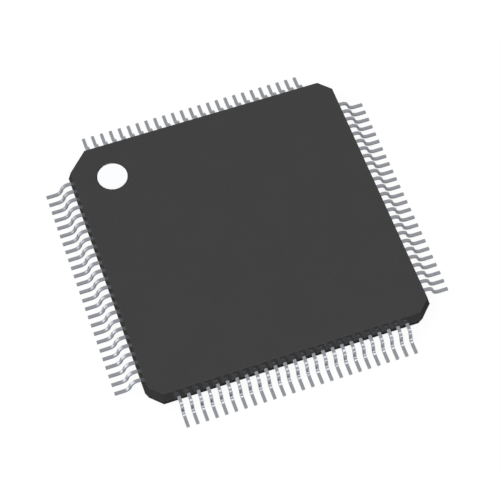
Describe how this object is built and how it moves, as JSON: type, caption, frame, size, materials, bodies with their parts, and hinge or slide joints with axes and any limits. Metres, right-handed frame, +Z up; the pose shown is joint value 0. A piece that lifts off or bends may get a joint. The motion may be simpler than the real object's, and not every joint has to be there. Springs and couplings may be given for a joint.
{
  "type": "quad flat pack chip",
  "caption": "Thin square chip in a black moulded package, with a row of gull-wing leads along every side and a round mark near one corner, for soldering flat to a circuit board.",
  "frame": {"origin": "centre of the seating plane, which is the plane under the feet of the leads", "axes": "+Z up out of the marked top face; +X to the right and +Y to the back when the round mark is at the back left corner"},
  "size_m": [0.0142, 0.0142, 0.001],
  "materials": {
    "mould_compound": "matte moulded epoxy, charcoal grey",
    "lead_plating": "satin tin plating",
    "marking_ink": "smooth white ink",
    "pad_copper": "bare copper alloy",
    "attach_glue": "silver-filled epoxy",
    "silicon": "polished silicon",
    "bond_gold": "bright gold wire"
  },
  "bodies": {
    "root": {"bond_wires_001_to_005": "bond_gold", "bond_wires_006_to_010": "bond_gold", "bond_wires_011_to_015": "bond_gold", "bond_wires_016_to_020": "bond_gold", "bond_wires_021_to_025": "bond_gold", "bond_wires_026_to_030": "bond_gold", "bond_wires_031_to_035": "bond_gold", "bond_wires_036_to_040": "bond_gold", "bond_wires_041_to_045": "bond_gold", "bond_wires_046_to_050": "bond_gold", "bond_wires_051_to_055": "bond_gold", "bond_wires_056_to_060": "bond_gold", "bond_wires_061_to_065": "bond_gold", "bond_wires_066_to_070": "bond_gold", "bond_wires_071_to_075": "bond_gold", "bond_wires_076_to_080": "bond_gold", "bond_wires_081_to_085": "bond_gold", "bond_wires_086_to_090": "bond_gold", "bond_wires_091_to_095": "bond_gold", "bond_wires_096_to_100": "bond_gold", "die_attach": "attach_glue", "die_pad": "pad_copper", "leads_001_to_005": "lead_plating", "leads_006_to_010": "lead_plating", "leads_011_to_015": "lead_plating", "leads_016_to_020": "lead_plating", "leads_021_to_025": "lead_plating", "leads_026_to_030": "lead_plating", "leads_031_to_035": "lead_plating", "leads_036_to_040": "lead_plating", "leads_041_to_045": "lead_plating", "leads_046_to_050": "lead_plating", "leads_051_to_055": "lead_plating", "leads_056_to_060": "lead_plating", "leads_061_to_065": "lead_plating", "leads_066_to_070": "lead_plating", "leads_071_to_075": "lead_plating", "leads_076_to_080": "lead_plating", "leads_081_to_085": "lead_plating", "leads_086_to_090": "lead_plating", "leads_091_to_095": "lead_plating", "leads_096_to_100": "lead_plating", "moulded_body": "mould_compound", "pin_one_mark": "marking_ink", "silicon_die": "silicon"}
  },
  "joints": []
}
